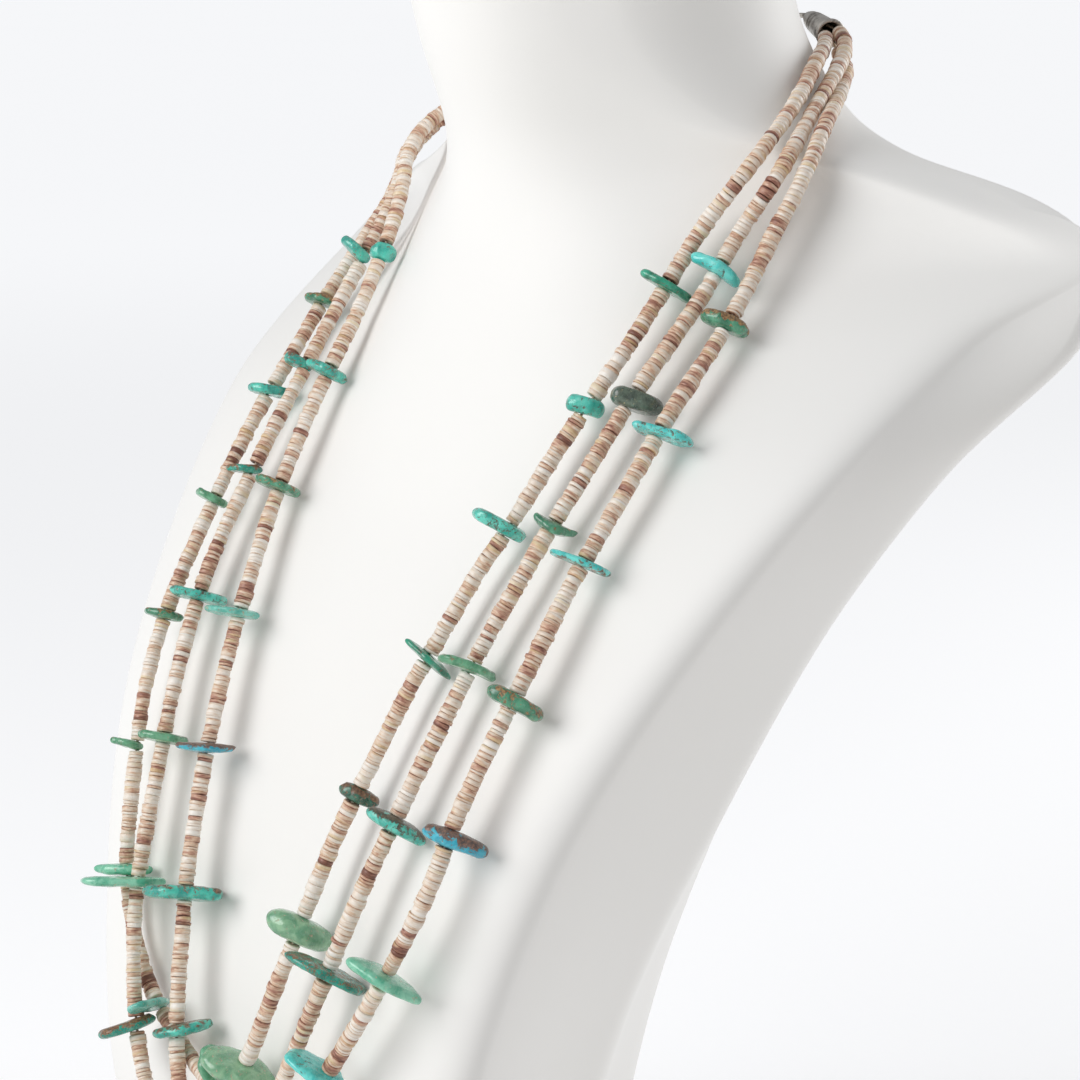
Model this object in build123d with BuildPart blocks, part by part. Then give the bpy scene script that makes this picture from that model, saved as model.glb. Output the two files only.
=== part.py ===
from build123d import *
from collections import namedtuple
from math import cos, pi, radians, sin, tan
import os

os.makedirs("parts", exist_ok=True)

# A three-strand necklace of shell heishi and turquoise tabs, worn by a plain neck bust.
# Millimetres. The origin is the middle of the bust's foot, on the table, and the chest faces -Y.

# The bust
bust_height = 390.0
shoulder_half_width = 138.0
bust_depth = 187.0
neck_radius = 51.0
neck_axis_y = 60.0
bust_corner = 7.0

# The strands
heishi_diameter = 3.6
heishi_bore = 1.1
thread_diameter = 0.7
bead_clearance = 0.2
route_fillet = 0.45

# The tabs
tab_length = 12.0
tab_thickness = 3.0
tab_bore = 1.4

# The cones and the clasp
cone_length = 22.0
cone_mouth_diameter = 7.8
cone_tip_diameter = 2.9
cone_rim = 1.1
cone_groove = 0.35
wire_diameter = 1.4
wire_clearance = 0.1
wire_seat = 3.0
wire_lead = 3.0
wire_bend = 4.0
barrel_diameter = 4.6
barrel_length = 12.0

# One ring of the bust's surface, mirrored left to right: front, edge of the chest, edge of the back
# and back. Heights are shares of bust_height. The angles, in degrees from +X toward +Y, are those at
# which the ring reaches and leaves the two edges.
Ring = namedtuple(
    "Ring",
    "front_z front_y chest_z chest_x chest_y side_z side_x side_y back_z back_y "
    "chest_in chest_out side_in side_out",
)

# Widths and depths are shares of neck_radius
neck_rings = [
    Ring(1.000, -1.10, 1.000, 0.670, -0.80, 1.000, 0.670, 0.53, 1.000, 0.84, 45, 45, 135, 135),
    Ring(0.923, -1.07, 0.923, 0.670, -0.73, 0.923, 0.670, 0.65, 0.923, 0.94, 45, 45, 135, 135),
    Ring(0.856, -0.96, 0.862, 0.690, -0.61, 0.867, 0.690, 0.745, 0.872, 1.04, 46, 48, 133, 135),
]

# Widths are shares of shoulder_half_width and depths of bust_depth
body_rings = [
    Ring(0.803, -0.236, 0.813, 0.359, -0.082, 0.812, 0.357, 0.214, 0.835, 0.306, 38, 52, 132, 142),
    Ring(0.767, -0.226, 0.785, 0.588, 0.043, 0.787, 0.565, 0.197, 0.807, 0.322, 28, 66, 115, 152),
    Ring(0.731, -0.234, 0.758, 0.832, 0.122, 0.771, 0.810, 0.190, 0.774, 0.332, 24, 78, 104, 158),
    Ring(0.697, -0.257, 0.734, 0.959, 0.142, 0.741, 0.985, 0.184, 0.733, 0.337, 26, 86, 96, 160),
    Ring(0.646, -0.295, 0.698, 0.891, 0.001, 0.684, 1.000, 0.140, 0.666, 0.332, 30, 90, 92, 158),
    Ring(0.561, -0.350, 0.622, 0.857, -0.204, 0.619, 0.874, 0.022, 0.574, 0.305, 36, 92, 92, 150),
    Ring(0.476, -0.441, 0.521, 0.767, -0.382, 0.512, 0.722, -0.087, 0.467, 0.246, 38, 94, 94, 144),
    Ring(0.382, -0.524, 0.407, 0.669, -0.523, 0.378, 0.582, -0.189, 0.349, 0.160, 38, 96, 96, 140),
    Ring(0.283, -0.608, 0.280, 0.584, -0.599, 0.257, 0.467, -0.250, 0.231, 0.074, 38, 98, 98, 137),
    Ring(0.152, -0.663, 0.139, 0.504, -0.624, 0.129, 0.395, -0.286, 0.113, 0.020, 36, 98, 98, 134),
    Ring(0.000, -0.642, 0.000, 0.406, -0.535, 0.000, 0.362, -0.278, 0.000, 0.000, 34, 98, 98, 134),
]

# The sizes of the bust that the routes and the cones were laid on
laid_height = 390.0
laid_half_width = 138.0
laid_depth = 187.0
laid_neck_radius = 51.0
laid_axis_y = 60.0

# The route of each strand, from the near cone down over the chest and up to the far cone
strand_routes = {
    "short": [
        (28.5, 108, 338), (34, 104.5, 336), (45, 92.5, 334), (52.5, 81.5, 330), (62, 65, 320.5),
        (68, 45, 308), (59.5, 37, 293), (57.5, 28, 280), (56.5, 17.5, 267), (54, 7, 253.5),
        (50.5, -2.5, 240), (48, -11.5, 226.5), (43, -20, 212.5), (40.5, -28.5, 199),
        (36.5, -36, 185), (33.5, -42.5, 171), (29.5, -48.5, 157), (26.5, -54.5, 142.5),
        (25, -60, 129), (21.5, -65, 114), (17.5, -69, 98.5), (11, -70, 87.5), (2, -69.5, 82),
        (-8.5, -68, 83), (-20.5, -66.5, 87.5), (-36.5, -65.5, 97), (-46.5, -63.5, 109.5),
        (-52, -61.5, 123.5), (-53.5, -59, 138), (-56, -55, 152), (-60, -50, 166),
        (-63, -43.5, 179.5), (-65, -35.5, 193.5), (-66, -26.5, 207.5), (-68, -16.5, 221.5),
        (-70, -5.5, 235.5), (-71.5, 7, 250), (-75, 21.5, 264.5), (-76, 34.5, 278),
        (-75, 45, 291), (-77, 53, 304), (-71.8, 65.5, 316.2), (-53, 91, 324.2),
        (-45, 101, 328.5), (-35.5, 105.5, 334.5), (-29, 109.5, 336.7),
    ],
    "middle": [
        (29, 109.5, 339), (36.5, 107, 337.5), (46, 99.5, 333.5), (53, 89, 328.5),
        (63.5, 70, 319.5), (74, 49, 306.5), (67, 42, 292), (66.5, 32, 278.5),
        (66, 19.5, 265.5), (64.5, 7.5, 252), (64, -3, 239), (62, -13, 226), (61, -22.5, 213),
        (58.5, -31, 199.5), (57, -39, 186), (55, -46.5, 172.5), (52.5, -53, 159),
        (48.5, -58.5, 144.5), (45, -63.5, 130), (40.5, -67.5, 115), (35, -70.5, 100),
        (28.5, -72.5, 86), (18, -73.5, 74), (3.5, -74, 68), (-8, -73.5, 73.5),
        (-14, -71.5, 86), (-17.5, -68.5, 100), (-21, -64.5, 114), (-25, -60, 128.5),
        (-28.5, -54.5, 143), (-31.5, -49, 157.5), (-34.5, -42.5, 172), (-37.5, -35.5, 186.5),
        (-40.5, -27.5, 201), (-45, -18, 215.5), (-47.5, -8.5, 230), (-48.5, 1, 245.5),
        (-49.5, 12.5, 261), (-53.5, 24.5, 276.5), (-58, 35.5, 292), (-67, 45, 308.5),
        (-62, 65, 320.5), (-52.5, 81.5, 330), (-45, 92.5, 334), (-34, 104.5, 336),
        (-28.5, 108, 338),
    ],
    "long": [
        (29, 109.5, 336.7), (35.5, 105.5, 334.5), (45, 101, 328.5), (53, 91, 324.2),
        (71.8, 65.5, 316.2), (77, 52.5, 303.5), (74.5, 44.5, 289.5), (76, 34.5, 277),
        (77.5, 22, 264.5), (77.5, 9.5, 252), (79, -2, 239.5), (78.5, -12, 227),
        (78, -21.5, 215), (78, -30, 202.5), (77, -38, 190), (75.5, -45, 177.5),
        (73.5, -51.5, 164.5), (73, -57, 151.5), (69, -62, 138), (62.5, -66.5, 123),
        (54, -70, 108), (45.5, -72.5, 94.5), (35, -74, 80), (19.5, -75, 67), (2, -75.5, 58),
        (-13.5, -75.5, 62), (-24.5, -74.5, 75.5), (-32.5, -72, 92), (-38, -68.5, 109),
        (-41.5, -64.5, 124.5), (-43.5, -59, 140.5), (-46.5, -53, 155.5), (-50, -46.5, 171),
        (-53.5, -38.5, 186.5), (-56.5, -29.5, 202), (-58, -18.5, 217.5), (-59.5, -7, 233.5),
        (-62.5, 6.5, 249), (-66, 20, 264.5), (-67.5, 32, 279), (-68.5, 42, 293),
        (-74, 49, 306.5), (-63.5, 70, 319.5), (-53, 89, 328.5), (-46, 99.5, 333.5),
        (-36.5, 107, 337.5), (-29, 109.5, 339),
    ],
}

# Where the heishi of each strand begin and end, in mm of thread from the two ends of the route
heishi_start = {"short": (8.5, 12.0), "middle": (9.0, 8.5), "long": (12.0, 9.0)}

# Outlines of the tabs: radii at every eighth turn from the long axis, as shares of an ellipse's
tab_outlines = {
    "oval": (1.00, 1.00, 1.00, 1.00, 1.00, 1.00, 1.00, 1.00),
    "wedge": (1.00, 0.92, 0.82, 0.90, 0.96, 1.04, 1.10, 1.08),
    "moon": (1.00, 0.80, 0.62, 0.80, 1.00, 1.04, 1.06, 1.04),
    "nugget": (1.00, 1.10, 0.90, 1.02, 0.96, 1.10, 0.98, 0.94),
    "long": (1.00, 1.12, 1.00, 1.16, 1.00, 1.08, 0.96, 1.12),
    "leaf": (1.00, 0.84, 0.98, 0.92, 1.00, 0.86, 1.02, 0.90),
}

# Sections of a tab through its thickness: height as a share of it, and size of the outline
tab_sections = [(-0.5, 0.78), (-0.22, 0.97), (0.22, 0.97), (0.5, 0.78)]

# A tab: its place as a share of the strand, its outline, its length as a share of tab_length, its
# width as a share of its length, its thickness as a share of tab_thickness, how far its middle lies
# from the thread along and across, as shares of tab_length, and how it is turned, in degrees: roll
# about the strand, tilt of the long axis along it, lean about the long axis
Tab = namedtuple("Tab", "place outline long wide thick along across roll tilt lean")

strand_tabs = {
    "short": [
        Tab(0.1614, "long", 1.02, 0.71, 0.83, 0.01, 0.04, -43, -1, 10),
        Tab(0.2097, "nugget", 0.71, 0.80, 1.37, -0.05, 0.00, -42, -18, 4),
        Tab(0.2577, "nugget", 1.09, 0.80, 1.10, -0.19, 0.00, -42, -5, -1),
        Tab(0.3073, "leaf", 1.08, 0.80, 0.73, 0.03, 0.00, -41, 11, -4),
        Tab(0.3583, "moon", 0.80, 0.79, 1.10, 0.07, 0.00, -44, 0, -8),
        Tab(0.4077, "oval", 1.30, 0.70, 1.93, 0.00, 0.00, -46, 4, -10),
        Tab(0.4627, "oval", 1.45, 0.68, 1.80, -0.10, 0.06, -42, -5, -12),
        Tab(0.4770, "oval", 1.10, 0.80, 1.00, -0.37, 0.00, -11, 0, -15),
        Tab(0.5310, "oval", 1.34, 0.47, 0.85, -0.53, -0.10, -63, 14, 20),
        Tab(0.5830, "oval", 1.32, 0.45, 0.73, -0.03, -0.10, -140, -3, -2),
        Tab(0.6276, "leaf", 0.73, 0.80, 0.77, -0.22, 0.00, -119, -8, 3),
        Tab(0.6767, "moon", 0.89, 0.79, 0.90, -0.04, 0.00, -121, 6, 5),
        Tab(0.7233, "long", 0.73, 0.80, 0.77, -0.07, 0.00, -119, -3, 9),
        Tab(0.7706, "nugget", 1.06, 0.62, 0.87, 0.03, -0.05, -132, 19, 12),
        Tab(0.8133, "wedge", 0.96, 0.80, 0.93, 0.03, -0.03, -127, 14, 15),
    ],
    "middle": [
        Tab(0.1494, "wedge", 1.04, 0.64, 1.10, -0.03, 0.03, -48, 3, 12),
        Tab(0.2020, "nugget", 0.98, 0.75, 1.33, 0.09, 0.03, -44, -13, 9),
        Tab(0.2503, "leaf", 0.87, 0.80, 0.87, 0.04, 0.00, -46, -6, 5),
        Tab(0.3013, "long", 1.06, 0.80, 0.87, -0.08, 0.00, -46, -7, 0),
        Tab(0.3557, "oval", 1.17, 0.70, 1.00, 0.08, 0.00, -43, 4, -7),
        Tab(0.4091, "wedge", 1.63, 0.68, 0.93, -0.03, 0.02, -39, 3, -15),
        Tab(0.4736, "oval", 1.20, 0.61, 1.03, 0.09, -0.03, -47, -11, -15),
        Tab(0.5500, "wedge", 1.28, 0.68, 1.00, 0.13, 0.00, -120, 11, -2),
        Tab(0.5963, "long", 1.71, 0.58, 0.93, -0.03, -0.02, -126, 1, 1),
        Tab(0.6463, "moon", 1.27, 0.70, 0.87, -0.04, 0.00, -122, 7, 3),
        Tab(0.6947, "oval", 1.16, 0.80, 0.80, -0.14, 0.00, -122, 6, 7),
        Tab(0.7433, "wedge", 1.05, 0.80, 0.90, -0.07, 0.00, -120, -1, 10),
        Tab(0.7890, "leaf", 1.01, 0.80, 1.07, -0.02, 0.00, -123, -1, 9),
        Tab(0.8400, "oval", 0.60, 0.80, 1.75, 0.02, 0.00, -118, 4, 15),
    ],
    "long": [
        Tab(0.1577, "wedge", 0.92, 0.80, 1.07, -0.05, 0.00, -52, -6, 15),
        Tab(0.1997, "long", 1.13, 0.57, 0.80, 0.11, 0.06, -38, -8, 14),
        Tab(0.2457, "long", 1.10, 0.75, 0.60, -0.06, 0.01, -46, -8, 7),
        Tab(0.2907, "nugget", 1.07, 0.80, 0.97, 0.03, 0.00, -46, 2, 1),
        Tab(0.3342, "moon", 1.21, 0.71, 1.03, 0.14, 0.02, -45, 1, -3),
        Tab(0.3810, "leaf", 1.47, 0.70, 1.17, 0.01, 0.00, -37, 1, -15),
        Tab(0.4203, "oval", 1.15, 0.80, 0.93, -0.26, 0.00, -36, -3, -15),
        Tab(0.4920, "long", 1.05, 0.75, 1.00, 0.10, 0.00, 20, 0, 0),
        Tab(0.5670, "long", 1.20, 0.71, 1.00, -0.21, 0.00, -117, 12, 2),
        Tab(0.6130, "long", 1.80, 0.69, 0.67, -0.32, 0.00, -121, 5, -1),
        Tab(0.6610, "wedge", 1.12, 0.80, 0.90, -0.02, 0.00, -121, 0, 3),
        Tab(0.7103, "long", 1.28, 0.64, 0.90, 0.00, -0.02, -122, 4, 7),
        Tab(0.7577, "leaf", 0.82, 0.80, 0.83, -0.20, 0.00, -126, 20, 9),
        Tab(0.7999, "nugget", 0.67, 0.80, 0.93, -0.19, 0.00, -118, 2, 12),
        Tab(0.8460, "wedge", 0.82, 0.80, 1.10, -0.26, 0.00, -113, -13, 14),
    ],
}



def on_bust(point):
    """A point of the laid bust at the same place on this one, where the neck's radius counts above
    the shoulders and the body's sizes count below"""
    x, y, z = point
    body_top, neck_foot = body_rings[0].front_z, neck_rings[-1].front_z
    share = min(max((z / laid_height - body_top) / (neck_foot - body_top), 0), 1)
    neck = share * neck_radius / laid_neck_radius
    wide = neck + (1 - share) * shoulder_half_width / laid_half_width
    deep = neck + (1 - share) * bust_depth / laid_depth
    return Vector(x * wide, neck_axis_y + (y - laid_axis_y) * deep, z * bust_height / laid_height)


# The near cone's mouth, and the direction from its tip to its mouth
cone_mouth = on_bust((35.0, 105.0, 336.8))
cone_direction = Vector(0.85, -0.50, -0.17).normalized()


def heading(degrees):
    return Vector(cos(radians(degrees)), sin(radians(degrees)), 0)


def curve_points(start, end, leave, arrive):
    """Cubic with handles as long as a circle's of the same chord and turn"""
    half = radians(abs(arrive - leave)) / 2
    share = 1 / 3 if half < 0.01 else 4 / 3 * tan(half / 2) / (2 * sin(half))
    handle = (end - start).length * share
    return [start, start + heading(leave) * handle, end - heading(arrive) * handle, end]


def cut_curve(points, share):
    """The two parts of a cubic, cut at a share of its parameter"""
    first, second = [points[0]], [points[-1]]
    while len(points) > 1:
        points = [a + (b - a) * share for a, b in zip(points, points[1:])]
        first.append(points[0])
        second.insert(0, points[-1])
    return first, second


def sized(ring, width, depth):
    """A ring in millimetres, its depths measured from the neck's axis"""
    sizes = [bust_height if field[-1] == "z" else width if field[-1] == "x" else depth
             for field in ring._fields[:10]]
    return Ring(*[share * size for share, size in zip(ring, sizes)], *ring[10:])


def beyond(last, inner):
    """A ring past the end of the bust, as far out as the one before it lies in"""
    return Ring(*[2 * a - b for a, b in zip(last, inner)])


def with_middles(rings):
    """The rings with one more between each two, on a smooth curve through their neighbours"""
    padded = [rings[0], *rings, rings[-1]]
    result = [rings[0]]
    for before, above, below, after in zip(padded, padded[1:], padded[2:], padded[3:]):
        result.append(Ring(*[
            (9 * b + 9 * c - a - d) / 16 for a, b, c, d in zip(before, above, below, after)
        ]))
        result.append(below)
    return result


def ring_wire(ring):
    """A whole ring, whose two edges on each side are rounded over bust_corner"""
    front = Vector(0, neck_axis_y + ring.front_y, ring.front_z)
    chest = Vector(ring.chest_x, neck_axis_y + ring.chest_y, ring.chest_z)
    side = Vector(ring.side_x, neck_axis_y + ring.side_y, ring.side_z)
    back = Vector(0, neck_axis_y + ring.back_y, ring.back_z)
    spans = [
        curve_points(front, chest, 0, ring.chest_in),
        curve_points(chest, side, ring.chest_out, ring.side_in),
        curve_points(side, back, ring.side_out, 180),
    ]
    kept, corners = [], []
    for index, span in enumerate(spans):
        share = bust_corner / (span[-1] - span[0]).length
        if index > 0:
            cut, span = cut_curve(span, share)
            corners[-1].append(cut[-1])
            share = share / (1 - share)
        if index < 2:
            span, cut = cut_curve(span, 1 - share)
            corners.append([cut[0], cut[-1]])
        kept.append(span)
    half = []
    for span, corner in zip(kept, corners + [None]):
        half.append(span)
        if corner:
            begin, tip, end = corner
            half.append([begin, begin + (tip - begin) * 2 / 3, end + (tip - end) * 2 / 3, end])
    with BuildLine() as line:
        for span in half:
            Bezier(*span)
        mirror(about=Plane.YZ)
    return line.wire()


with BuildPart() as bust:
    rings = [sized(ring, neck_radius, neck_radius) for ring in neck_rings]
    rings += [sized(ring, shoulder_half_width, bust_depth) for ring in body_rings]
    rings = [beyond(rings[0], rings[1]), *rings, beyond(rings[-1], rings[-2])]
    add(Solid.make_loft([ring_wire(ring) for ring in with_middles(rings)]))
    # The loft runs past the neck and the foot, which are cut off flat
    with BuildSketch():
        Rectangle(4 * shoulder_half_width, 4 * bust_depth)
    extrude(amount=bust_height, mode=Mode.INTERSECT)
bust.part.label = "bust"
export_step(bust.part, "parts/bust.step")


def route_wire(points):
    """Straight runs joined by arcs as large as the shorter run beside each point allows"""
    points = [on_bust(point) for point in points]
    radii = []
    for before, here, after in zip(points, points[1:], points[2:]):
        turn = radians((here - before).get_angle(after - here))
        shorter = min((here - before).length, (after - here).length)
        radii.append(route_fillet * shorter / tan(turn / 2))
    with BuildLine() as line:
        FilletPolyline(*points, radius=radii)
    return line.wire(), radii


def strand_plane(wire, place):
    """The plane square to a strand, whose x axis lies level and y axis faces out of the chest"""
    along = wire.tangent_at(place)
    out = Vector(0, -1, 0)
    out = (out - along * out.dot(along)).normalized()
    return Plane(origin=wire.position_at(place), x_dir=out.cross(along), z_dir=along)


def tab_plane(wire, tab):
    """The middle plane of a tab, turned by its roll, tilt and lean about its thread"""
    plane = strand_plane(wire, tab.place)
    long_axis = plane.x_dir * cos(radians(tab.roll)) + plane.y_dir * sin(radians(tab.roll))
    across = plane.z_dir.cross(long_axis)
    long_axis, normal = (
        long_axis * cos(radians(tab.tilt)) + plane.z_dir * sin(radians(tab.tilt)),
        plane.z_dir * cos(radians(tab.tilt)) - long_axis * sin(radians(tab.tilt)),
    )
    normal = normal * cos(radians(tab.lean)) - across * sin(radians(tab.lean))
    across = normal.cross(long_axis)
    middle = plane.origin + (long_axis * tab.along + across * tab.across) * tab_length
    return Plane(origin=middle, x_dir=long_axis, z_dir=normal)


def span_end(wire, tab, way):
    """Share of the strand at which the heishi stop square to it, clear of the tab's face"""
    plane = tab_plane(wire, tab)
    need = tab_thickness * tab.thick / 2 + bead_clearance
    reach = need
    for _ in range(4):
        place = tab.place + way * reach / wire.length
        square = plane.z_dir.dot(wire.tangent_at(place))
        edge = heishi_diameter / 2 * max(1 - square**2, 0) ** 0.5
        reach += need + edge - way * (wire.position_at(place) - plane.origin).dot(plane.z_dir)
    return tab.place + way * reach / wire.length


for name, points in strand_routes.items():
    wire, radii = route_wire(points)
    length = wire.length
    print(name, "length", round(length, 1), "least radius", round(min(radii), 1))

    with BuildPart() as thread:
        with BuildSketch(strand_plane(wire, 0)):
            Circle(thread_diameter / 2)
        sweep(path=wire)
    thread.part.label = f"thread_{name}"
    export_step(thread.part, f"parts/thread_{name}.step")

    # The heishi lie in spans between the tabs
    first, last = heishi_start[name]
    span_ends = [first / length]
    for tab in strand_tabs[name]:
        span_ends += [span_end(wire, tab, -1), span_end(wire, tab, 1)]
    span_ends.append(1 - last / length)
    string_volume = 0
    with BuildPart() as string:
        for begin, end in zip(span_ends[::2], span_ends[1::2]):
            with BuildSketch(strand_plane(wire, begin)):
                Circle(heishi_diameter / 2)
                Circle(heishi_bore / 2, mode=Mode.SUBTRACT)
            sweep(path=wire.trim(begin, end))
            string_volume += (end - begin) * length * pi / 4 * (heishi_diameter**2 - heishi_bore**2)
    string.part.label = f"string_{name}"
    export_step(string.part, f"parts/string_{name}.step")
    print("  heishi volume", round(string.part.volume), "section times length", round(string_volume))

    for number, row in enumerate(strand_tabs[name], 1):
        middle = tab_plane(wire, row)
        half_length = tab_length * row.long / 2
        half_width = half_length * row.wide
        thickness = tab_thickness * row.thick
        with BuildPart() as tab:
            for height, size in tab_sections:
                outline = []
                for step, radius in enumerate(tab_outlines[row.outline]):
                    turn = 2 * pi * step / len(tab_outlines[row.outline])
                    outline.append((
                        half_length * size * radius * cos(turn),
                        half_width * size * radius * sin(turn),
                    ))
                with BuildSketch(middle.offset(height * thickness)):
                    with BuildLine():
                        Spline(*outline, periodic=True)
                    make_face()
            loft()
            with BuildSketch(strand_plane(wire, row.place)):
                Circle(tab_bore / 2)
            extrude(amount=2 * thickness, both=True, mode=Mode.SUBTRACT)
        tab.part.label = f"tab_{name}_{number}"
        export_step(tab.part, f"parts/tab_{name}_{number}.step")

cone_tip = cone_mouth - cone_direction * cone_length
cone_side = Vector(0, 0, 1).cross(cone_direction).normalized()
cone_plane = Plane(origin=cone_tip, x_dir=cone_direction, z_dir=cone_side.cross(cone_direction))
tip_radius = cone_tip_diameter / 2
mouth_radius = cone_mouth_diameter / 2
tip_bore = wire_diameter / 2 + wire_clearance
mouth_bore = mouth_radius - cone_rim / 2 - cone_groove

with BuildPart() as cone_near:
    with BuildSketch(cone_plane) as profile:
        with BuildLine():
            Polyline(
                (0, tip_bore),
                (0, tip_radius),
                (cone_length - 2 * cone_rim, mouth_radius - cone_rim / 2),
                (cone_length - 1.5 * cone_rim, mouth_radius - cone_rim / 2 - cone_groove / 2),
                (cone_length - cone_rim, mouth_radius - cone_rim / 2),
            )
            ThreePointArc(
                (cone_length - cone_rim, mouth_radius - cone_rim / 2),
                (cone_length - cone_rim / 2, mouth_radius),
                (cone_length, mouth_radius - cone_rim / 2),
            )
            Polyline(
                (cone_length, mouth_radius - cone_rim / 2),
                (cone_length, mouth_bore),
                (wire_seat, tip_bore),
                (0, tip_bore),
            )
        make_face()
    revolve(axis=Axis(cone_tip, cone_direction))
cone_near.part.label = "cone_near"
export_step(cone_near.part, "parts/cone_near.step")

with BuildPart() as cone_far:
    mirror(cone_near.part, about=Plane.YZ)
cone_far.part.label = "cone_far"
export_step(cone_far.part, "parts/cone_far.step")

seat = cone_tip + cone_direction * wire_seat
knee = cone_tip - cone_direction * wire_lead

with BuildPart() as clasp:
    with BuildLine() as wire_line:
        FilletPolyline(
            seat,
            knee,
            Vector(-knee.X, knee.Y, knee.Z),
            Vector(-seat.X, seat.Y, seat.Z),
            radius=wire_bend,
        )
    with BuildSketch(Plane(origin=seat, z_dir=-cone_direction)):
        Circle(wire_diameter / 2)
    sweep(path=wire_line.wire())
    with BuildSketch(Plane(origin=(0, knee.Y, knee.Z), z_dir=(1, 0, 0))):
        Circle(barrel_diameter / 2)
    extrude(amount=barrel_length / 2, both=True)
clasp.part.label = "clasp"
export_step(clasp.part, "parts/clasp.step")
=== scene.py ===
from collections import namedtuple

import bpy
import numpy as np
from mathutils import Matrix


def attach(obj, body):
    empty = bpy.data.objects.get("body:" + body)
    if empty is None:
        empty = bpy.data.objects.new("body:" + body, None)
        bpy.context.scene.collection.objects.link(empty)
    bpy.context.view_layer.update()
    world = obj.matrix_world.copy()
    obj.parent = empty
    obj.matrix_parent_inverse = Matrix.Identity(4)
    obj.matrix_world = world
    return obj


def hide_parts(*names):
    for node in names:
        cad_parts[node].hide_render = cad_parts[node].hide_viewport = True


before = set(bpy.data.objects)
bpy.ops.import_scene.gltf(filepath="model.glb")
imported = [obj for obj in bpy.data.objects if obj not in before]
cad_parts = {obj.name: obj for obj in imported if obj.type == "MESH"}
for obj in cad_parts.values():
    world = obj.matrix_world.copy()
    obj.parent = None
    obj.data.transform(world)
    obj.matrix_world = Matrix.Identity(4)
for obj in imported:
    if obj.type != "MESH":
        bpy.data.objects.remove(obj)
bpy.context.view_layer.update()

# ------------------------------------------------------------
# The neck bust: a plain shop display, a moulded shell sprayed matte white. It stands on its flat
# narrow foot, and the neck is cut off level. The necklace only hangs on it.
# ------------------------------------------------------------
bust_height = 0.390
shoulder_half_width = 0.138
bust_depth = 0.187
neck_radius = 0.051
neck_axis_y = 0.060
bust_corner = 0.007
bust_edge = 0.0015

# How much longer than a circle's the handle into the chest's corner is, how often rings are put
# between the rings, and how many points the spans and corners of half a ring have
chest_pull = 1.35
ring_rounds = 3
ring_steps = [28, 8, 16, 8, 24]

# One ring a row, in the columns front_z front_y, chest_z chest_x chest_y, side_z side_x side_y,
# back_z back_y and the headings chest_in chest_out side_in side_out in degrees from +X toward +Y.
# Heights are shares of bust_height, and the neck's widths and depths are shares of neck_radius.
neck_rings = [
    (1.000, -1.170, 1.000, 0.670, -0.870, 1.000, 0.670, 0.460, 1.000, 0.770, 45, 45, 135, 135),
    (0.923, -1.140, 0.923, 0.670, -0.800, 0.923, 0.670, 0.580, 0.923, 0.870, 45, 45, 135, 135),
    (0.856, -1.010, 0.862, 0.690, -0.660, 0.867, 0.690, 0.695, 0.872, 0.990, 46, 48, 133, 135),
]

# The body's widths are shares of shoulder_half_width and its depths of bust_depth
body_rings = [
    (0.803, -0.236, 0.813, 0.359, -0.082, 0.812, 0.357, 0.214, 0.835, 0.306, 38, 52, 132, 142),
    (0.767, -0.226, 0.785, 0.588, 0.043, 0.787, 0.565, 0.197, 0.807, 0.322, 28, 66, 115, 152),
    (0.731, -0.234, 0.758, 0.832, 0.122, 0.771, 0.810, 0.190, 0.774, 0.332, 24, 78, 104, 158),
    (0.697, -0.257, 0.734, 0.959, 0.142, 0.741, 0.985, 0.184, 0.733, 0.337, 23, 86, 96, 160),
    (0.646, -0.295, 0.698, 0.891, 0.001, 0.684, 1.000, 0.140, 0.666, 0.332, 24, 90, 92, 158),
    (0.561, -0.350, 0.622, 0.857, -0.204, 0.619, 0.884, 0.022, 0.574, 0.315, 23, 92, 92, 150),
    (0.476, -0.441, 0.521, 0.767, -0.382, 0.512, 0.722, -0.087, 0.467, 0.248, 23, 94, 94, 144),
    (0.382, -0.524, 0.407, 0.669, -0.523, 0.378, 0.582, -0.189, 0.349, 0.160, 23, 96, 96, 140),
    (0.283, -0.608, 0.280, 0.584, -0.599, 0.257, 0.452, -0.250, 0.231, 0.058, 23, 98, 98, 137),
    (0.152, -0.663, 0.139, 0.504, -0.624, 0.129, 0.372, -0.288, 0.113, -0.008, 23, 98, 98, 134),
    (0.000, -0.642, 0.000, 0.406, -0.535, 0.000, 0.345, -0.282, 0.000, -0.020, 23, 98, 98, 134),
]


def in_metres(rings, width, depth):
    """Ring rows with each share multiplied by its size: heights, widths, depths, headings as is"""
    high = bust_height
    sizes = [high, depth, high, width, depth, high, width, depth, high, depth, 1, 1, 1, 1]
    return np.array(rings) * sizes


def with_middles(rings):
    """The rings with one more between each two, nine sixteenths of both less a sixteenth of the
    two beyond them"""
    padded = np.concatenate([rings[:1], rings, rings[-1:]])
    result = np.repeat(rings, 2, axis=0)[:-1]
    result[1::2] = (9 * (padded[1:-2] + padded[2:-1]) - padded[:-3] - padded[3:]) / 16
    return result


def edge_points(rings, first, across):
    """The points that three columns of every ring give: height, width (or none) and depth"""
    high, wide = rings[:, first], rings[:, first + 1] if across else 0 * rings[:, 0]
    deep = rings[:, first + 2] if across else rings[:, first + 1]
    return np.stack([wide, neck_axis_y + deep, high], axis=-1)


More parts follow.
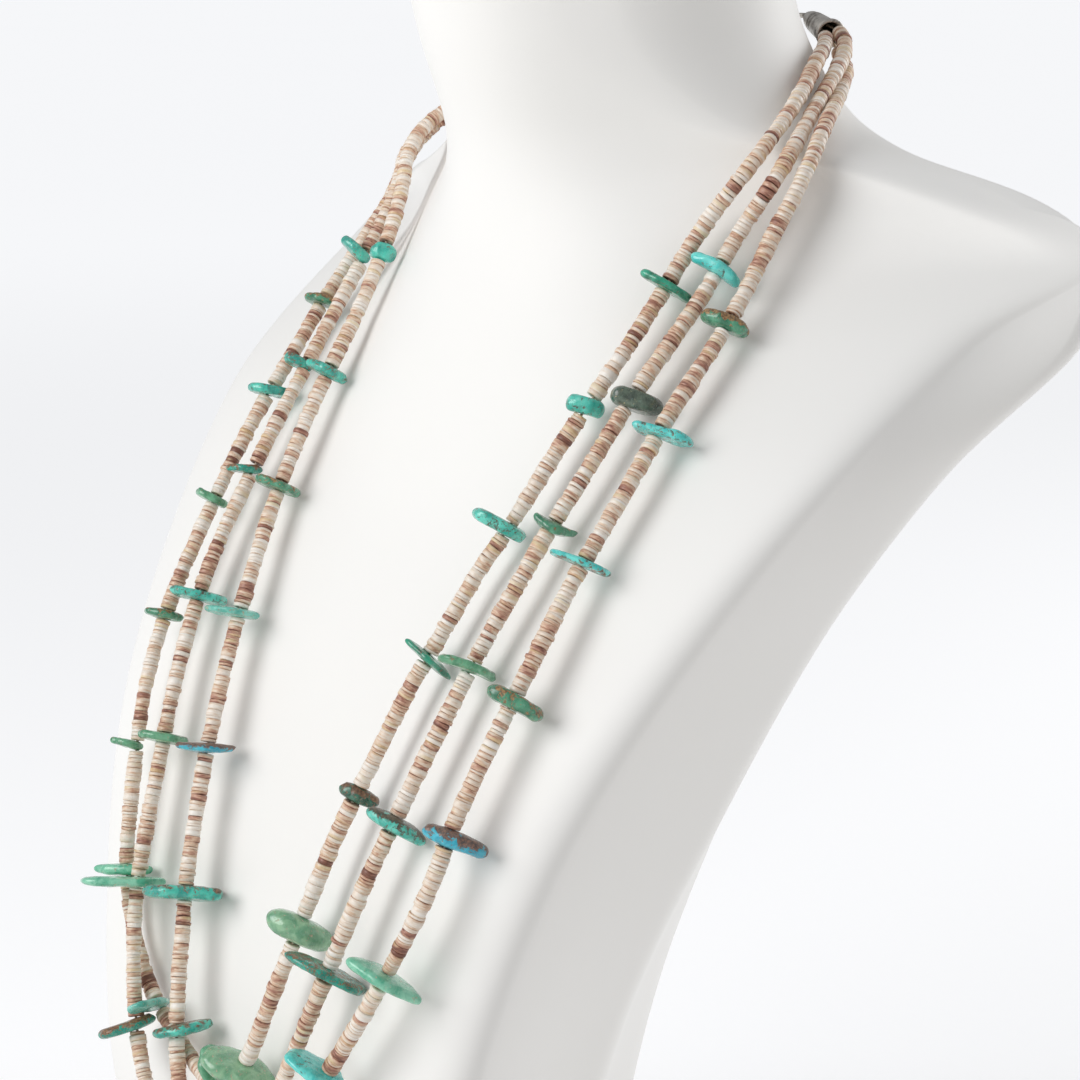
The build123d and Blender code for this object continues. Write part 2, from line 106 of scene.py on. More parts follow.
def curve_points(start, end, leave, arrive, pull=1.0):
    """Cubic spans with handles as long as a circle's of the same chord and turn: four thirds of
    the tangent of a quarter of the turn, over twice the sine of its half. The last handle is
    longer by pull"""
    half = np.maximum(np.radians(abs(arrive - leave)) / 2, 0.001)
    share = 4 / 3 * np.tan(half / 2) / (2 * np.sin(half))
    handle = (np.linalg.norm(end - start, axis=-1) * share)[:, None]
    ways = [np.radians(angle + 0 * share) for angle in (leave, arrive)]
    out, back = [np.stack([np.cos(way), np.sin(way), 0 * way], axis=-1) for way in ways]
    return [start, start + out * handle, end - back * handle * pull, end]


def cut_curve(points, share):
    """The two parts of cubic spans cut at a share, from the points between their points"""
    first, second = [points[0]], [points[-1]]
    while len(points) > 1:
        points = [a + (b - a) * share for a, b in zip(points, points[1:])]
        first.append(points[0])
        second.insert(0, points[-1])
    return first, second


def bust_grid(rings):
    """Rings of the bust as rows of points: three cubic spans a side from front to back, whose
    corners are cut bust_corner from their point and rounded by a cubic, and the same mirrored"""
    front, back = edge_points(rings, 0, False), edge_points(rings, 8, False)
    chest, side = edge_points(rings, 2, True), edge_points(rings, 5, True)
    spans = [
        curve_points(front, chest, 0, rings[:, 10], chest_pull),
        curve_points(chest, side, rings[:, 11], rings[:, 12]),
        curve_points(side, back, rings[:, 13], 180),
    ]
    kept, corners = [], []
    for index, span in enumerate(spans):
        share = bust_corner / np.linalg.norm(span[-1] - span[0], axis=-1, keepdims=True)
        if index > 0:
            cut, span = cut_curve(span, share)
            corners[-1].append(cut[-1])
            share = share / (1 - share)
        if index < 2:
            span, cut = cut_curve(span, 1 - share)
            corners.append([cut[0], cut[-1]])
        kept.append(span)
    rounds = [
        [begin, begin + (tip - begin) * 2 / 3, end + (tip - end) * 2 / 3, end]
        for begin, tip, end in corners
    ]
    half = []
    for span, steps in zip([kept[0], rounds[0], kept[1], rounds[1], kept[2]], ring_steps):
        t = np.linspace(0, 1, steps, endpoint=False)[None, :, None]
        a, b, c, d = [point[:, None, :] for point in span]
        half.append(a * (1 - t) ** 3 + 3 * b * t * (1 - t) ** 2 + 3 * c * t**2 * (1 - t) + d * t**3)
    half.append(back[:, None, :])
    half = np.concatenate(half, axis=1)
    return np.concatenate([half, half[:, -2:0:-1] * [-1, 1, 1]], axis=1)


def rounded_end(ring, way):
    """Rows that close a level end: a quarter round of radius bust_edge, then shrinking copies"""
    middle = ring.mean(axis=0)
    reach = np.linalg.norm(ring - middle, axis=-1, keepdims=True)
    rows = []
    for angle in np.radians([0, 22.5, 45, 67.5, 90]):
        inward = 1 - bust_edge * (1 - np.cos(angle)) / reach
        rows.append(middle + (ring - middle) * inward)
        rows[-1][:, 2] -= way * bust_edge * (1 - np.sin(angle))
    rows += [middle + (rows[-1] - middle) * share for share in (0.97, 0.7, 0.4, 0.1)]
    return rows


def skin(grid, joined=False):
    """Quads between neighbours of a grid whose rows close on themselves. The first and last row
    are closed by a fan to their middle, or joined to each other, for each grid of a stack"""
    index = np.arange(grid[..., 0].size).reshape(grid.shape[:-1])
    right, down = np.roll(index, -1, axis=-1), np.roll(index, -1, axis=-2)
    corner = np.roll(down, -1, axis=-1)
    quads = np.stack([index, right, corner, down], axis=-1)
    if joined:
        return grid.reshape(-1, 3), quads.reshape(-1, 4).tolist()
    faces = quads[:-1].reshape(-1, 4).tolist()
    points = np.concatenate([grid.reshape(-1, 3), [grid[0].mean(axis=0), grid[-1].mean(axis=0)]])
    first, last = len(points) - 2 + 0 * index[0], len(points) - 1 + 0 * index[0]
    faces += np.stack([right[0], index[0], first], axis=-1).tolist()
    faces += np.stack([index[-1], right[-1], last], axis=-1).tolist()
    return points, faces


def piece(name, points, faces, finish, sharp=None, attributes=()):
    """A mesh object of these points and faces, turned outwards if its volume comes out negative.
    attributes are (name, type, value for each point)"""
    mesh = bpy.data.meshes.new(name)
    mesh.from_pydata(points.tolist(), [], faces)
    mesh.update()
    mesh.calc_loop_triangles()
    corners = np.empty(len(mesh.loop_triangles) * 3, dtype=np.int32)
    mesh.loop_triangles.foreach_get("vertices", corners)
    a, b, c = points[corners.reshape(-1, 3)].transpose(1, 0, 2)
    if np.einsum("ij,ij->", a, np.cross(b, c)) < 0:
        mesh.flip_normals()
    mesh.shade_smooth()
    if sharp:
        mesh.set_sharp_from_angle(angle=np.radians(sharp))
    for title, kind, values in attributes:
        field = "vector" if kind == "FLOAT_VECTOR" else "value"
        layer = mesh.attributes.new(title, kind, "POINT")
        layer.data.foreach_set(field, np.asarray(values, dtype=np.float32).ravel())
    mesh.materials.append(finish.material)
    made = bpy.data.objects.new(name, mesh)
    bpy.context.collection.objects.link(made)
    return made


def paint(code):
    """The linear colour of a six-figure screen colour"""
    shades = np.array([int(code[i : i + 2], 16) for i in (0, 2, 4)]) / 255
    linear = np.where(shades < 0.04045, shades / 12.92, ((shades + 0.055) / 1.055) ** 2.4)
    return (*linear.tolist(), 1.0)


class Shade:
    """A socket of a finish. Arithmetic on it adds the Math nodes."""

    def __init__(self, finish, socket):
        self.finish, self.socket = finish, socket

    def __add__(self, other):
        return self.finish.maths("ADD", self, other)

    def __sub__(self, other):
        return self.finish.maths("SUBTRACT", self, other)

    def __rsub__(self, other):
        return self.finish.maths("SUBTRACT", other, self)

    def __mul__(self, other):
        return self.finish.maths("MULTIPLY", self, other)

    __radd__ = __add__
    __rmul__ = __mul__

    def rise(self, low, high):
        """0 below low, 1 above high and a smooth step between them"""
        settings = {"interpolation_type": "SMOOTHSTEP"}
        return self.finish.node("ShaderNodeMapRange", settings, {"Value": self, 1: low, 2: high})


class Finish:
    """A material: its Principled shader, the nodes that feed it and the sockets that stay fixed"""

    def __init__(self, name, **fixed):
        self.material = bpy.data.materials.new(name)
        self.material.use_nodes = True
        self.tree = self.material.node_tree
        self.shader = self.tree.nodes["Principled BSDF"]
        for socket, value in fixed.items():
            self.shader.inputs[socket.replace("_", " ")].default_value = value

    def node(self, kind, settings, values, output=0):
        """A node of that kind with its settings, then its sockets' values or links"""
        made = self.tree.nodes.new(kind)
        for name, value in settings.items():
            if name == "stops":
                ramp = made.color_ramp.elements
                while len(ramp) < len(value):
                    ramp.new(0.5)
                for stop, (place, code) in zip(ramp, value):
                    stop.position, stop.color = place, paint(code)
            else:
                setattr(made, name, value)
        for name, value in values.items():
            if isinstance(value, Shade):
                self.tree.links.new(value.socket, made.inputs[name])
            else:
                made.inputs[name].default_value = value
        return Shade(self, made.outputs[output])

    def maths(self, operation, first, second):
        """A Math node on two sockets or numbers"""
        return self.node("ShaderNodeMath", {"operation": operation}, {0: first, 1: second})

    def place(self):
        """Object coordinates, in metres"""
        return self.node("ShaderNodeTexCoord", {}, {}, "Object")

    def field(self, name, output="Fac"):
        """The mesh's own attribute of that name"""
        return self.node("ShaderNodeAttribute", {"attribute_name": name}, {}, output)

    def noise(self, where, scale, detail=2.0, rough=0.5, warp=0.0):
        """Noise from 0 to 1 with so many cells to a unit of where"""
        values = {"Vector": where, "Scale": scale, "Detail": detail, "Roughness": rough}
        return self.node("ShaderNodeTexNoise", {}, {**values, "Distortion": warp})

    def blend(self, share, first, second):
        """first where share is 0 and second where it is 1, as colours"""
        settings = {"data_type": "RGBA"}
        return self.node("ShaderNodeMix", settings, {0: share, 6: first, 7: second}, 2)

    def relief(self, height, strength, distance):
        """A Bump node for low relief alone, with its distance in metres"""
        values = {"Height": height, "Strength": strength, "Distance": distance}
        self.feed(Normal=self.node("ShaderNodeBump", {}, values, "Normal"))

    def feed(self, **sockets):
        """Links to the shader's sockets of those names"""
        for name, value in sockets.items():
            self.tree.links.new(value.socket, self.shader.inputs[name.replace("_", " ")])


rings = np.concatenate([
    in_metres(neck_rings, neck_radius, neck_radius),
    in_metres(body_rings, shoulder_half_width, bust_depth),
])
# One ring more past each end shapes the ends, and is left out again
rings = np.concatenate([[2 * rings[0] - rings[1]], rings, [2 * rings[-1] - rings[-2]]])
for _ in range(ring_rounds):
    rings = with_middles(rings)
spare = 2**ring_rounds
rows = bust_grid(rings[spare:-spare])
neck_end, foot_end = rounded_end(rows[0], 1), rounded_end(rows[-1], -1)
rows = np.concatenate([neck_end[::-1], rows[1:-1], foot_end])

white = Finish("matte_white", Roughness=0.5, IOR=1.45)
place = white.place()
cloud = white.noise(place, 14, detail=3)
grain = white.noise(place, 1400)
white.feed(
    Base_Color=white.blend(cloud, paint("F4F4F3"), paint("F0F0EE")),
    Roughness=0.46 + cloud * 0.12,
)
white.relief(grain, strength=0.12, distance=0.00006)

bust = piece("bust_shell", *skin(rows), white, sharp=50)
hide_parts("bust")
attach(bust, "root")

# ------------------------------------------------------------
# The threads: waxed cotton, one for each strand, from inside the near cone down over the chest
# and up into the far cone. The beads hide nearly all of them.
# ------------------------------------------------------------
thread_radius = 0.35
thread_sides = 10
thread_step = 1.0

# The necklace is worked out in millimetres, and its points are put in metres for the mesh
millimetre = 0.001

# How far to each side, in mm of thread, its direction is read
tangent_reach = 0.4

# The route of each strand in metres, the control points of its spline
strand_routes = {
    "short": [
        (0.0285, 0.108, 0.338), (0.034, 0.1045, 0.336), (0.045, 0.0925, 0.334),
        (0.0525, 0.0815, 0.33), (0.062, 0.065, 0.3205), (0.068, 0.045, 0.308),
        (0.0595, 0.037, 0.293), (0.0575, 0.028, 0.28), (0.0565, 0.0175, 0.267),
        (0.054, 0.007, 0.2535), (0.0505, -0.0025, 0.24), (0.048, -0.0115, 0.2265),
        (0.043, -0.02, 0.2125), (0.0405, -0.0285, 0.199), (0.0365, -0.036, 0.185),
        (0.0335, -0.0425, 0.171), (0.0295, -0.0485, 0.157), (0.0265, -0.0545, 0.1425),
        (0.025, -0.06, 0.129), (0.0215, -0.065, 0.114), (0.0175, -0.069, 0.0985),
        (0.011, -0.07, 0.0875), (0.002, -0.0695, 0.082), (-0.0085, -0.068, 0.083),
        (-0.0205, -0.0665, 0.0875), (-0.0365, -0.0655, 0.097), (-0.0465, -0.0635, 0.1095),
        (-0.052, -0.0615, 0.1235), (-0.0535, -0.059, 0.138), (-0.056, -0.055, 0.152),
        (-0.06, -0.05, 0.166), (-0.063, -0.0435, 0.1795), (-0.065, -0.0355, 0.1935),
        (-0.066, -0.0265, 0.2075), (-0.068, -0.0165, 0.2215), (-0.07, -0.0055, 0.2355),
        (-0.071, 0.007, 0.25), (-0.075, 0.0215, 0.2645), (-0.076, 0.0345, 0.278),
        (-0.075, 0.045, 0.291), (-0.077, 0.053, 0.304), (-0.0718, 0.0655, 0.3162),
        (-0.053, 0.091, 0.3242), (-0.045, 0.101, 0.3285), (-0.0355, 0.1055, 0.3345),
        (-0.029, 0.1095, 0.3367),
    ],
    "middle": [
        (0.029, 0.1095, 0.339), (0.0365, 0.107, 0.3375), (0.046, 0.0995, 0.3335),
        (0.053, 0.089, 0.3285), (0.0635, 0.07, 0.3195), (0.074, 0.049, 0.3065),
        (0.067, 0.042, 0.292), (0.0665, 0.032, 0.2785), (0.066, 0.0195, 0.2655),
        (0.0645, 0.0075, 0.252), (0.064, -0.003, 0.239), (0.062, -0.013, 0.226),
        (0.061, -0.0225, 0.213), (0.0585, -0.031, 0.1995), (0.057, -0.039, 0.186),
        (0.055, -0.0465, 0.1725), (0.0525, -0.053, 0.159), (0.0485, -0.0585, 0.1445),
        (0.045, -0.0635, 0.13), (0.0405, -0.0675, 0.115), (0.035, -0.0705, 0.1),
        (0.0285, -0.0725, 0.086), (0.018, -0.0735, 0.074), (0.0035, -0.074, 0.068),
        (-0.008, -0.0735, 0.0735), (-0.014, -0.0715, 0.086), (-0.0175, -0.0685, 0.1),
        (-0.021, -0.0645, 0.114), (-0.025, -0.06, 0.1285), (-0.0285, -0.0545, 0.143),
        (-0.0315, -0.049, 0.1575), (-0.0345, -0.0425, 0.172), (-0.0375, -0.0355, 0.1865),
        (-0.0405, -0.0275, 0.201), (-0.045, -0.018, 0.2155), (-0.0475, -0.0085, 0.23),
        (-0.0485, 0.001, 0.2455), (-0.0495, 0.0125, 0.261), (-0.0535, 0.0245, 0.2765),
        (-0.058, 0.0355, 0.292), (-0.067, 0.045, 0.3085), (-0.062, 0.065, 0.3205),
        (-0.0525, 0.0815, 0.33), (-0.045, 0.0925, 0.334), (-0.034, 0.1045, 0.336),
        (-0.0285, 0.108, 0.338),
    ],
    "long": [
        (0.029, 0.1095, 0.3367), (0.0355, 0.1055, 0.3345), (0.045, 0.101, 0.3285),
        (0.053, 0.091, 0.3242), (0.0718, 0.0655, 0.3162), (0.077, 0.0525, 0.3035),
        (0.0745, 0.0445, 0.2895), (0.076, 0.0345, 0.277), (0.0775, 0.022, 0.2645),
        (0.0775, 0.0095, 0.252), (0.079, -0.002, 0.2395), (0.0785, -0.012, 0.227),
        (0.078, -0.0215, 0.215), (0.078, -0.03, 0.2025), (0.077, -0.038, 0.19),
        (0.0755, -0.045, 0.1775), (0.0735, -0.0515, 0.1645), (0.073, -0.057, 0.1515),
        (0.069, -0.062, 0.138), (0.0625, -0.0665, 0.123), (0.054, -0.07, 0.108),
        (0.0455, -0.0725, 0.0945), (0.035, -0.074, 0.08), (0.0195, -0.075, 0.067),
        (0.002, -0.0755, 0.058), (-0.013, -0.0755, 0.062), (-0.0245, -0.0745, 0.0755),
        (-0.0325, -0.072, 0.092), (-0.038, -0.0685, 0.109), (-0.0415, -0.0645, 0.1245),
        (-0.0435, -0.059, 0.1405), (-0.0465, -0.053, 0.1555), (-0.05, -0.0465, 0.171),
        (-0.0535, -0.0385, 0.1865), (-0.0565, -0.0295, 0.202), (-0.058, -0.0185, 0.2175),
        (-0.0595, -0.007, 0.2335), (-0.0625, 0.0065, 0.249), (-0.066, 0.02, 0.2645),
        (-0.0675, 0.032, 0.279), (-0.0685, 0.042, 0.293), (-0.074, 0.049, 0.3065),
        (-0.0635, 0.07, 0.3195), (-0.053, 0.089, 0.3285), (-0.046, 0.0995, 0.3335),
        (-0.0365, 0.107, 0.3375), (-0.029, 0.1095, 0.339),
    ],
}


class Strand:
    """The line of a strand, read from the NURBS spline through its route, in millimetres"""

    def __init__(self, name):
        curve = bpy.data.curves.new(name, "CURVE")
        curve.dimensions = "3D"
        curve.resolution_u = 24
        route = np.array(strand_routes[name])
        spline = curve.splines.new("NURBS")
        spline.points.add(len(route) - 1)
        spline.points.foreach_set("co", np.column_stack([route, np.ones(len(route))]).ravel())
        spline.order_u = 3
        spline.use_endpoint_u = True
        guide = bpy.data.objects.new(name, curve)
        mesh = bpy.data.meshes.new_from_object(guide)
        points = np.empty(len(mesh.vertices) * 3)
        mesh.vertices.foreach_get("co", points)
        self.points = points.reshape(-1, 3) / millimetre
        steps = np.linalg.norm(np.diff(self.points, axis=0), axis=-1)
        self.along = np.concatenate([[0], np.cumsum(steps)])
        self.length = self.along[-1]
        bpy.data.objects.remove(guide)
        bpy.data.curves.remove(curve)
        bpy.data.meshes.remove(mesh)

    def at(self, reach):
        """Points that far along the thread, on the straight between the two nearest points"""
        return np.stack([np.interp(reach, self.along, axis) for axis in self.points.T], axis=-1)

    def planes(self, reach):
        """The points there, and axes square to the thread: level, out of the chest and along"""
        reach = np.asarray(reach, dtype=float)
        along = self.at(reach + tangent_reach) - self.at(reach - tangent_reach)
        along /= np.linalg.norm(along, axis=-1, keepdims=True)
        out = np.array([0.0, -1.0, 0.0])
        out = out - along * (along @ out)[..., None]
        out /= np.linalg.norm(out, axis=-1, keepdims=True)
        return self.at(reach), np.cross(out, along), out, along


strands = {name: Strand(name) for name in strand_routes}

cotton = Finish("waxed_cotton", Roughness=0.7)
fibre = cotton.noise(cotton.place(), 5000, detail=3)
cotton.feed(Base_Color=cotton.blend(fibre, paint("B7A58E"), paint("D8CBB6")))
cotton.relief(fibre, strength=0.5, distance=0.00005)

for name, strand in strands.items():
    # A circle carried along the strand: its points turn in the plane square to the thread
    middle, level, out, _ = strand.planes(np.arange(0, strand.length, thread_step))
    turn = np.linspace(0, 2 * np.pi, thread_sides, endpoint=False)[None, :, None]
    grid = middle[:, None] + thread_radius * (
        level[:, None] * np.cos(turn) + out[:, None] * np.sin(turn)
    )
    thread = piece(f"thread_line_{name}", *skin(grid * millimetre), cotton)
    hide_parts(f"thread_{name}")
    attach(thread, "root")

# ------------------------------------------------------------
# The turquoise tabs: slices of rough stone, rubbed round and polished, each drilled for its
# thread. Brown host rock is left in veins, pits and crusts, and each stone has its own colour.
# ------------------------------------------------------------
tab_length = 12.0
tab_thickness = 3.0
tab_bore = 1.4
tab_sides = 88
face_rows = 11
edge_rows = 13

# A face reaches this share of the way to the rim on a tab of usual thickness. The share loses
# face_loss times what the thickness has above 1, and stays within face_limits.
tab_face = 0.78
face_loss = 0.25
face_limits = (0.52, 0.84)

# How far a face falls toward the rim, as a share of half the thickness: by outline, or else
face_falls = {"nugget": 0.1, "long": 0.2, "wedge": 0.3}
usual_fall = 0.4

# Two waves run round each outline: how many, and how high, as a share of half the length
outline_waves = ((5, 0.03), (9, 0.018))

# Each flat starts at a share between these of the stone's reach, and takes this much off past it
flat_starts = (0.90, 0.97)
flat_depth = 0.9

# Height and width in mm of the noise that roughens a stone. Within bore_guard of the thread the
# stone stays even, and the noise comes in over as much again.
stone_lumps = ((0.24, 3.4), (0.07, 1.2), (0.02, 0.5))
bore_guard = 1.6

# Radii at every eighth turn from the long axis, as shares of an ellipse's
tab_outlines = {
    "oval": (1.00, 1.00, 1.00, 1.00, 1.00, 1.00, 1.00, 1.00),
    "wedge": (1.00, 0.92, 0.82, 0.90, 0.96, 1.04, 1.10, 1.08),
    "moon": (1.00, 0.80, 0.62, 0.80, 1.00, 1.04, 1.06, 1.04),
    "nugget": (1.00, 1.10, 0.90, 1.02, 0.96, 1.10, 0.98, 0.94),
    "long": (1.00, 1.12, 1.00, 1.16, 1.00, 1.08, 0.96, 1.12),
    "leaf": (1.00, 0.84, 0.98, 0.92, 1.00, 0.86, 1.02, 0.90),
}

# Stones: the light and the dark of each colour, then the dark and the light of its host rock
stones = {
    "sky": ("70E2DA", "3CC4C0", "3A2B22", "8A6543"),
    "blue": ("45C0D6", "2298B2", "4A3226", "8F5F42"),
    "turquoise": ("66D6C4", "2FAE9E", "2E231C", "6E4C32"),
    "teal": ("50CBB6", "28998C", "43291C", "93603F"),
    "deep": ("2BA691", "107768", "57351F", "9C6A42"),
    "emerald": ("2FA888", "11694F", "4C3A2A", "7C6347"),
    "green": ("56A07E", "2C6E52", "5A3A26", "B58752"),
    "forest": ("3D7560", "1C4435", "4A2F20", "8C6446"),
    "olive": ("5F6F60", "2B3830", "6D6A4C", "C2B78A"),
    "moss": ("6FB08A", "3F8460", "6C5A40", "A88F6C"),
    "sage": ("90BD97", "639C79", "9A7A62", "C9AD96"),
    "mint": ("8ED4B6", "4DAE8C", "A08468", "D8C3A6"),
    "aqua": ("84D3C4", "4BAE9E", "8A6A4C", "C4A27C"),
}

# A tab: its place as a share of the strand, its outline, its length as a share of tab_length, its
# width as a share of its length, its thickness as a share of tab_thickness, how far its middle
# lies from the thread along and across, as shares of tab_length, its roll about the strand, tilt
# along it and lean in degrees, its stone, how much it is veined, how much crust it has (on the
# face toward the strand's end, or with a minus on the one toward its start), how many flats it
# has, and how far it is bent, as a share of half its thickness
Tab = namedtuple(
    "Tab",
    "place outline length width thickness along across roll tilt lean stone veins crust flats bend",
)
strand_tabs = {
    "short": [
        (0.1614, "long", 1.12, 0.71, 0.83, 0.01, 0.04, -43, -1, 10, "emerald", 0.0, 0.0, 0, 0.1),
        (0.2097, "nugget", 0.78, 0.8, 1.37, -0.05, 0.0, -42, -18, 4, "turquoise", 0.5, 0.2, 4, 0.1),
        (0.2577, "nugget", 1.2, 0.8, 1.1, -0.19, 0.0, -42, -5, -1, "turquoise", 0.8, 0.1, 5, 0.1),
        (0.3073, "leaf", 1.19, 0.8, 0.73, 0.03, 0.0, -41, 11, -4, "emerald", 0.2, 0.1, 1, 0.1),
        (0.3583, "moon", 0.88, 0.79, 1.35, 0.07, 0.0, -44, 0, -8, "forest", 0.6, -0.55, 3, 0.0),
        (0.4077, "oval", 1.43, 0.7, 2.2, 0.0, 0.0, -46, 4, -10, "sage", 0.1, 0.0, 0, 0.0),
        (0.4627, "oval", 1.59, 0.68, 1.8, -0.1, 0.06, -42, -5, -12, "sage", 0.3, 0.0, 2, 0.0),
        (0.477, "oval", 1.1, 0.8, 1.0, -0.37, 0.0, -11, 0, -15, "moss", 0.2, 0.0, 1, 0.0),
        (0.531, "oval", 1.34, 0.47, 0.85, -0.53, -0.1, -63, 14, 20, "aqua", 0.1, 0.0, 1, 0.1),
        (0.583, "oval", 1.32, 0.45, 1.05, -0.03, -0.1, -140, -3, -2, "mint", 0.1, 0.0, 1, 0.1),
        (0.6276, "leaf", 0.73, 0.8, 0.77, -0.22, 0.0, -119, -8, 3, "moss", 0.1, 0.0, 1, 0.0),
        (0.6767, "moon", 0.89, 0.79, 0.9, -0.04, 0.0, -121, 6, 5, "green", 0.4, 0.4, 2, 0.0),
        (0.7233, "long", 0.73, 0.8, 0.77, -0.07, 0.0, -119, -3, 9, "moss", 0.2, 0.0, 1, 0.1),
        (0.7706, "nugget", 1.06, 0.62, 0.87, 0.03, -0.05, -132, 19, 12, "teal", 0.4, 0.1, 2, 0.1),
        (0.8133, "wedge", 0.96, 0.8, 0.93, 0.03, -0.03, -127, 14, 15, "green", 0.4, 0.6, 2, 0.0),
    ],
    "middle": [
        (0.1494, "wedge", 1.14, 0.64, 1.1, -0.03, 0.03, -48, 3, 12, "sky", 0.3, 0.1, 6, 0.5),
        (0.202, "nugget", 1.08, 0.75, 1.55, 0.09, 0.03, -44, -13, 9, "olive", 0.1, 0.0, 5, 0.0),
        (0.2503, "leaf", 0.96, 0.8, 0.87, 0.04, 0.0, -46, -6, 5, "green", 0.1, 0.1, 2, -0.6),
        (0.3013, "long", 1.17, 0.8, 0.87, -0.08, 0.0, -46, -7, 0, "moss", 0.2, 0.0, 2, 0.3),
        (0.3557, "oval", 1.29, 0.7, 1.3, 0.08, 0.0, -43, 4, -7, "turquoise", 0.6, -0.7, 3, 0.1),
        (0.4091, "wedge", 1.79, 0.68, 0.93, -0.03, 0.02, -39, 3, -15, "deep", 0.9, -0.4, 1, 0.2),
        (0.4736, "oval", 1.32, 0.61, 1.03, 0.09, -0.03, -47, -11, -15, "moss", 0.2, 0.0, 1, 0.0),
        (0.55, "wedge", 1.28, 0.68, 1.0, 0.13, 0.0, -120, 11, -2, "teal", 0.7, 0.5, 3, 0.2),
        (0.5963, "long", 1.71, 0.58, 1.25, -0.03, -0.02, -126, 1, 1, "teal", 0.5, 0.4, 2, 0.0),
        (0.6463, "moon", 1.27, 0.7, 0.87, -0.04, 0.0, -122, 7, 3, "blue", 0.2, 0.9, 2, 0.2),
        (0.6947, "oval", 1.16, 0.8, 0.8, -0.14, 0.0, -122, 6, 7, "aqua", 0.4, 0.1, 2, 0.0),
        (0.7433, "wedge", 1.05, 0.8, 0.9, -0.07, 0.0, -120, -1, 10, "green", 0.5, 0.4, 2, 0.0),
        (0.789, "leaf", 1.01, 0.8, 1.07, -0.02, 0.0, -123, -1, 9, "teal", 0.7, 0.2, 3, 0.0),
        (0.84, "oval", 0.6, 0.8, 1.75, 0.02, 0.0, -118, 4, 15, "teal", 0.3, 0.0, 3, 0.0),
    ],
    "long": [
        (0.1577, "wedge", 1.01, 0.8, 1.3, -0.05, 0.0, -52, -6, 15, "green", 0.3, -0.9, 4, 0.1),
        (0.1997, "long", 1.24, 0.57, 0.8, 0.11, 0.06, -38, -8, 14, "sky", 0.6, 0.2, 2, 0.1),
        (0.2457, "long", 1.21, 0.75, 0.6, -0.06, 0.01, -46, -8, 7, "sky", 0.2, 0.4, 1, 0.1),
        (0.2907, "nugget", 1.18, 0.8, 1.25, 0.03, 0.0, -46, 2, 1, "green", 0.4, -0.4, 3, 0.1),
        (0.3342, "moon", 1.33, 0.71, 1.45, 0.14, 0.02, -45, 1, -3, "blue", 0.3, -0.75, 3, 0.0),
        (0.381, "leaf", 1.62, 0.7, 1.17, 0.01, 0.0, -37, 1, -15, "mint", 0.1, 0.0, 1, 0.1),
        (0.4203, "oval", 1.26, 0.8, 0.93, -0.26, 0.0, -36, -3, -15, "sky", 0.05, 0.0, 0, 0.0),
        (0.492, "long", 1.05, 0.75, 1.0, 0.1, 0.0, 20, 0, 0, "teal", 0.3, 0.1, 2, 0.0),
        (0.567, "long", 1.2, 0.71, 1.0, -0.21, 0.0, -117, 12, 2, "deep", 0.6, 0.7, 3, 0.2),
        (0.613, "long", 1.8, 0.69, 0.88, -0.32, 0.0, -121, 5, -1, "mint", 0.1, 0.0, 1, 0.1),
        (0.661, "wedge", 1.12, 0.8, 0.9, -0.02, 0.0, -121, 0, 3, "moss", 0.1, 0.0, 1, 0.0),
        (0.7103, "long", 1.28, 0.64, 0.9, 0.0, -0.02, -122, 4, 7, "turquoise", 0.7, 0.2, 2, 0.0),
        (0.7577, "leaf", 0.82, 0.8, 0.83, -0.2, 0.0, -126, 20, 9, "deep", 0.5, 0.6, 2, 0.0),
        (0.7999, "nugget", 0.67, 0.8, 0.93, -0.19, 0.0, -118, 2, 12, "teal", 0.8, 0.4, 2, 0.0),
        (0.846, "wedge", 0.82, 0.8, 1.1, -0.26, 0.0, -113, -13, 14, "teal", 0.3, 0.1, 3, 0.0),
    ],
}
strand_tabs = {name: [Tab(*row) for row in rows] for name, rows in strand_tabs.items()}


def tab_plane(strand, row):
    """The middle of a tab and its axes: the strand's own, turned by roll about the strand, then by
    tilt about the tab's width and by lean about its length"""
    origin, level, out, thread = strand.planes(row.place * strand.length)
    roll, tilt, lean = np.radians([row.roll, row.tilt, row.lean])
    long_axis = level * np.cos(roll) + out * np.sin(roll)
    width_axis = np.cross(thread, long_axis)
    normal = thread * np.cos(tilt) - long_axis * np.sin(tilt)
    long_axis = long_axis * np.cos(tilt) + thread * np.sin(tilt)
    normal = normal * np.cos(lean) - width_axis * np.sin(lean)
    width_axis = np.cross(normal, long_axis)
    middle = origin + (long_axis * row.along + width_axis * row.across) * tab_length
    return middle, long_axis, width_axis, normal, thread


def lumps(points, seed):
    """Smooth noise from -1 to 1: random values at whole numbers, blended by smooth steps"""
    values = np.random.default_rng(seed).uniform(-1, 1, (32, 32, 32))
    cell = np.floor(points).astype(int)
    part = points - cell
    part = part * part * (3 - 2 * part)
    total = np.zeros(points.shape[:-1])
    for corner in np.ndindex(2, 2, 2):
        share = np.prod(np.where(corner, part, 1 - part), axis=-1)
        i, j, k = np.moveaxis((cell + corner) % 32, -1, 0)
        total += share * values[i, j, k]
    return total


